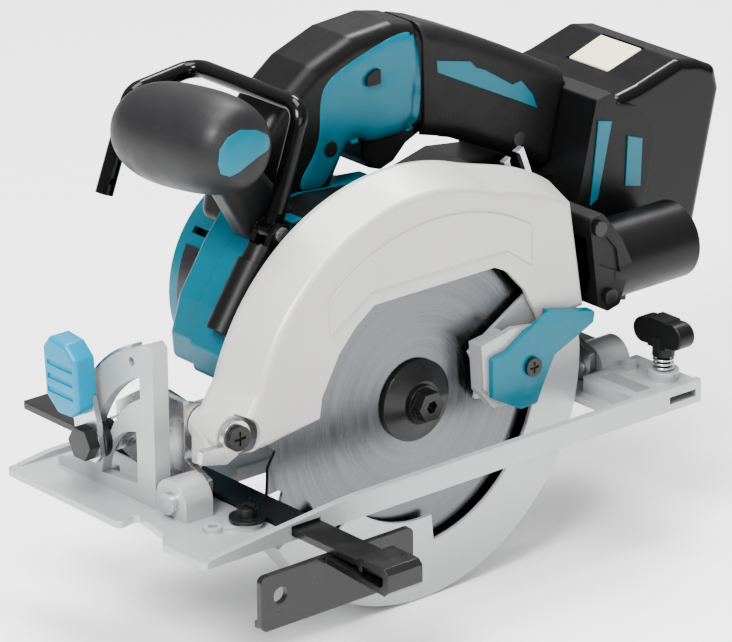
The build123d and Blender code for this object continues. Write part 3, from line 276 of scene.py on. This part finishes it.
def clear_lens():
    made = Finish("lens", 0.06, Transmission_Weight=0.85, IOR=1.49)
    made.bump(made.noise(1.2 * MM), 0.01 * MM)
    return made.close(made.mix(made.noise(0.004), (0.86, 0.88, 0.84, 1.0), (0.93, 0.94, 0.90, 1.0)))


BLACK = (0.007, 0.007, 0.0075)
TEAL = (0.0, 0.125, 0.180)
CYAN = (0.0, 0.205, 0.34)

MATERIALS = {
    "gear_shell": gear_shell(),
    "cast_grey": metal("cast_grey", (0.40, 0.405, 0.41), 0.38, 0.35, 0.5 * MM, 0.025 * MM),
    "case_grey": metal("case_grey", (0.47, 0.465, 0.45), 0.36, 0.15, 0.9 * MM, 0.006 * MM, edge=0.8 * MM),
    "guard_grey": metal("guard_grey", (0.41, 0.415, 0.42), 0.34, 0.40, 0.5 * MM, 0.010 * MM),
    "blade_steel": saw_steel(),
    "steel": metal("steel", (0.56, 0.56, 0.57), 0.28, 0.95, 0.3 * MM, 0.006 * MM, edge=0.25 * MM),
    "black_steel": metal("black_steel", (0.008, 0.008, 0.0085), 0.30, 0.0, 0.4 * MM, 0.012 * MM, wear=3.0),
    "black_plastic": plastic("black_plastic", BLACK, 0.36, Specular_IOR_Level=0.28),
    "gloss_black": plastic("gloss_black", (0.004, 0.004, 0.0045), 0.15, 1.5 * MM, 0.003 * MM,
                           Specular_IOR_Level=0.30),
    "rubber": pebbled("rubber", (0.009, 0.009, 0.0095), 0.50),
    "teal": plastic("teal", TEAL, 0.34, wear=1.25),
    "cyan": plastic("cyan", CYAN, 0.34, wear=1.2),
    "dark_grey": pebbled("dark_grey", (0.017, 0.017, 0.018), 0.46, 0.5 * MM, 0.02 * MM),
    "cream": plastic("cream", (0.72, 0.66, 0.50), 0.38, wear=1.1),
    "copper": metal("copper", (0.72, 0.36, 0.18), 0.30, 0.9, 0.4 * MM, 0.02 * MM),
    "lens": clear_lens(),
    "plate": plastic("plate", (0.020, 0.020, 0.022), 0.30),
    "cell": plastic("cell", (0.02, 0.13, 0.20), 0.25),
}

# Pieces whose finish differs from the one that the record gives.
FINISHES = {"gear_housing": "gear_shell"}


def clothe_frame():
    """Gives every CAD node its material."""
    for row in frame["record"]["subparts"]:
        name = row["node"]
        data = frame["nodes"][name].data
        data.materials.clear()
        data.materials.append(MATERIALS[FINISHES.get(name, row["material_slot"])])


def surface_of(*names):
    """A search tree of the named CAD nodes' faces."""
    points = []
    faces = []
    for name in names:
        mesh = frame["nodes"][name].data
        start = len(points)
        points.extend(vertex.co.copy() for vertex in mesh.vertices)
        faces.extend([start + index for index in polygon.vertices] for polygon in mesh.polygons)
    return BVHTree.FromPolygons(points, faces)


def rounded(outline, rounds=3):
    """The outline with its corners cut back again and again, which leaves them round."""
    for _ in range(rounds):
        cut = []
        for here, after in zip(outline, outline[1:] + outline[:1]):
            cut.append(here.lerp(after, CORNER_CUT))
            cut.append(here.lerp(after, 1.0 - CORNER_CUT))
        outline = cut
    return outline


def distance_to(point, outline):
    """The distance from a point to the outline, in its plane."""
    nearest = 1.0
    for here, after in zip(outline, outline[1:] + outline[:1]):
        along = after - here
        share = max(0.0, min(1.0, (point - here).dot(along) / along.length_squared))
        nearest = min(nearest, (here + along * share - point).length)
    return nearest


def skin(name, outline, body, slot, targets, lift=0.5 * MM, edge=1.2 * MM, step=2.5 * MM, sink=0.4 * MM):
    """A moulded inlay: an outline in x and z, laid on the targets' near side and crowned at its edge."""
    line = rounded([Vector(point) * MM for point in outline])
    low = Vector((min(p.x for p in line), min(p.y for p in line)))
    high = Vector((max(p.x for p in line), max(p.y for p in line)))
    points = list(line)
    for column in range(1, int((high.x - low.x) / step) + 1):
        for row in range(1, int((high.y - low.y) / step) + 1):
            points.append(low + Vector((column * step, row * step)))
    loop = [list(range(len(line)))]
    flat, _, faces, *_ = delaunay_2d_cdt(points, [], loop, 1, 1e-6)
    tree = surface_of(*targets)
    found = []
    for point in flat:
        hit = tree.ray_cast(Vector((point.x, RAY_START_Y, point.y)), Vector((0.0, 1.0, 0.0)))[0]
        found.append(hit.y if hit else None)
    known = [value for value in found if value is not None]
    usual = sum(known) / len(known)
    mesh = bmesh.new()
    front = []
    back = []
    for point, value in zip(flat, found):
        depth = usual if value is None else value
        share = min(1.0, distance_to(point, line) / edge)
        rise = lift * math.sqrt(max(0.0, 1.0 - (1.0 - share) ** 2))
        front.append(mesh.verts.new((point.x, depth - rise, point.y)))
        back.append(mesh.verts.new((point.x, depth + sink, point.y)))
    for face in faces:
        mesh.faces.new([front[index] for index in face])
        mesh.faces.new([back[index] for index in reversed(face)])
    borders = [item for item in mesh.edges if item.is_boundary]
    twin = dict(zip(front, back))
    for item in borders:
        start, end = item.verts
        if start in twin and end in twin:
            mesh.faces.new((start, end, twin[end], twin[start]))
    bmesh.ops.recalc_face_normals(mesh, faces=mesh.faces)
    return piece(name, mesh, body, slot)


def piece(name, mesh, body, slot):
    """A smooth-shaded object of the mesh, riding on a CAD body with a finish of the record's."""
    data = bpy.data.meshes.new(name)
    mesh.to_mesh(data)
    mesh.free()
    for polygon in data.polygons:
        polygon.use_smooth = True
    data.set_sharp_from_angle(angle=math.radians(40.0))
    data.materials.append(MATERIALS[slot])
    made = bpy.data.objects.new(name, data)
    bpy.context.scene.collection.objects.link(made)
    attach(made, body)
    return made


def softened(node, body, slot, radius, angle=28.0, segments=4):
    """A copy of a CAD node with its sharp edges rounded off, shown in the node's place."""
    mesh = bmesh.new()
    mesh.from_mesh(frame["nodes"][node].data)
    bmesh.ops.remove_doubles(mesh, verts=mesh.verts, dist=0.002 * MM)
    bmesh.ops.dissolve_limit(mesh, angle_limit=math.radians(1.0), verts=mesh.verts, edges=mesh.edges)
    limit = math.radians(angle)
    sharp = [item for item in mesh.edges if item.is_manifold and item.calc_face_angle() > limit]
    bmesh.ops.bevel(mesh, geom=sharp, offset=radius, segments=segments, profile=0.5, affect="EDGES",
                    clamp_overlap=True)
    bmesh.ops.recalc_face_normals(mesh, faces=mesh.faces)
    made = piece(node + "_form", mesh, body, slot)
    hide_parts(node)


LEG_PANEL = [(-0.1, 156.4), (-7.0, 149.1), (-7.4, 127.1), (-21.3, 110.3), (-7.7, 106.0), (9.0, 124.3),
             (21.3, 121.4), (36.6, 121.2), (49.2, 122.8), (49.5, 156.4), (44.0, 166.0), (34.3, 166.4),
             (21.8, 163.6)]


def inlays():
    """The coloured panel let into the near side of the handle's leg."""
    skin("leg_panel", LEG_PANEL, "saw", "teal", ["handle_shell_near"])


def softer_forms():
    """The mouldings whose rounded edges show."""
    softened("bevel_lever_grip", "bevel_lever", "cyan", 2.2 * MM)
    softened("guard_lever", "guard", "teal", 1.4 * MM)
    softened("battery_button", "battery_release", "cream", 0.8 * MM)


def add_light(name, place, size, power):
    """A soft rectangular lamp at a place, facing the saw."""
    data = bpy.data.lights.new(name, "AREA")
    data.shape = "RECTANGLE"
    data.size, data.size_y = size
    data.energy = power
    made = bpy.data.objects.new(name, data)
    made.location = place
    made.rotation_euler = (LAMP_AIM - Vector(place)).to_track_quat("-Z", "Y").to_euler()
    bpy.context.scene.collection.objects.link(made)


def studio():
    """A pale floor, a world that brightens upwards, and soft lamps."""
    world = bpy.data.worlds.new("studio")
    bpy.context.scene.world = world
    world.use_nodes = True
    tree = world.node_tree
    place = tree.nodes.new("ShaderNodeTexCoord").outputs["Generated"]
    axes = tree.nodes.new("ShaderNodeSeparateXYZ")
    tree.links.new(place, axes.inputs["Vector"])
    climb = tree.nodes.new("ShaderNodeMapRange")
    tree.links.new(axes.outputs["Z"], climb.inputs["Value"])
    for key, value in (("From Min", 0.0), ("From Max", 0.8), ("To Min", HORIZON), ("To Max", ZENITH)):
        climb.inputs[key].default_value = value
    tree.links.new(climb.outputs["Result"], tree.nodes["Background"].inputs["Strength"])
    tree.nodes["Background"].inputs["Color"].default_value = (1.0, 1.0, 1.0, 1.0)
    for name, place, size, power in LAMPS:
        add_light(name, place, size, power)
    floor_finish = Finish("floor", 0.55, edge=0.1 * MM)
    tone = floor_finish.mix(floor_finish.noise(0.6, 2.0), (0.93, 0.93, 0.93, 1.0), (0.95, 0.95, 0.95, 1.0))
    mesh = bmesh.new()
    height = cad_box[0][2] - FLOOR_GAP
    corners = [mesh.verts.new((x * FLOOR_HALF, y * FLOOR_HALF, height))
               for x, y in ((-1, -1), (1, -1), (1, 1), (-1, 1))]
    mesh.faces.new(corners)
    data = bpy.data.meshes.new("floor")
    mesh.to_mesh(data)
    mesh.free()
    data.materials.append(floor_finish.close(tone))
    floor = bpy.data.objects.new("floor", data)
    bpy.context.scene.collection.objects.link(floor)


def camera():
    """A long lens from the front left of the saw, above it."""
    azimuth = math.radians(CAMERA_AZIMUTH)
    elevation = math.radians(CAMERA_ELEVATION)
    back = Vector((math.sin(azimuth) * math.cos(elevation),
                   -math.cos(azimuth) * math.cos(elevation),
                   math.sin(elevation)))
    right = Vector((math.cos(azimuth), math.sin(azimuth), 0.0))
    turn = Matrix((right, back.cross(right), back)).transposed().to_4x4()
    data = bpy.data.cameras.new("camera")
    data.lens = LENS
    data.sensor_width = SENSOR
    made = bpy.data.objects.new("camera", data)
    made.matrix_world = (Matrix.Translation(CAMERA_TARGET + back * CAMERA_DISTANCE) @ turn
                         @ Matrix.Rotation(math.radians(CAMERA_ROLL), 4, "Z"))
    bpy.context.scene.collection.objects.link(made)
    bpy.context.scene.camera = made
    bpy.context.scene.view_settings.look = "AgX - Medium High Contrast"


clothe_frame()
inlays()
softer_forms()
studio()
camera()
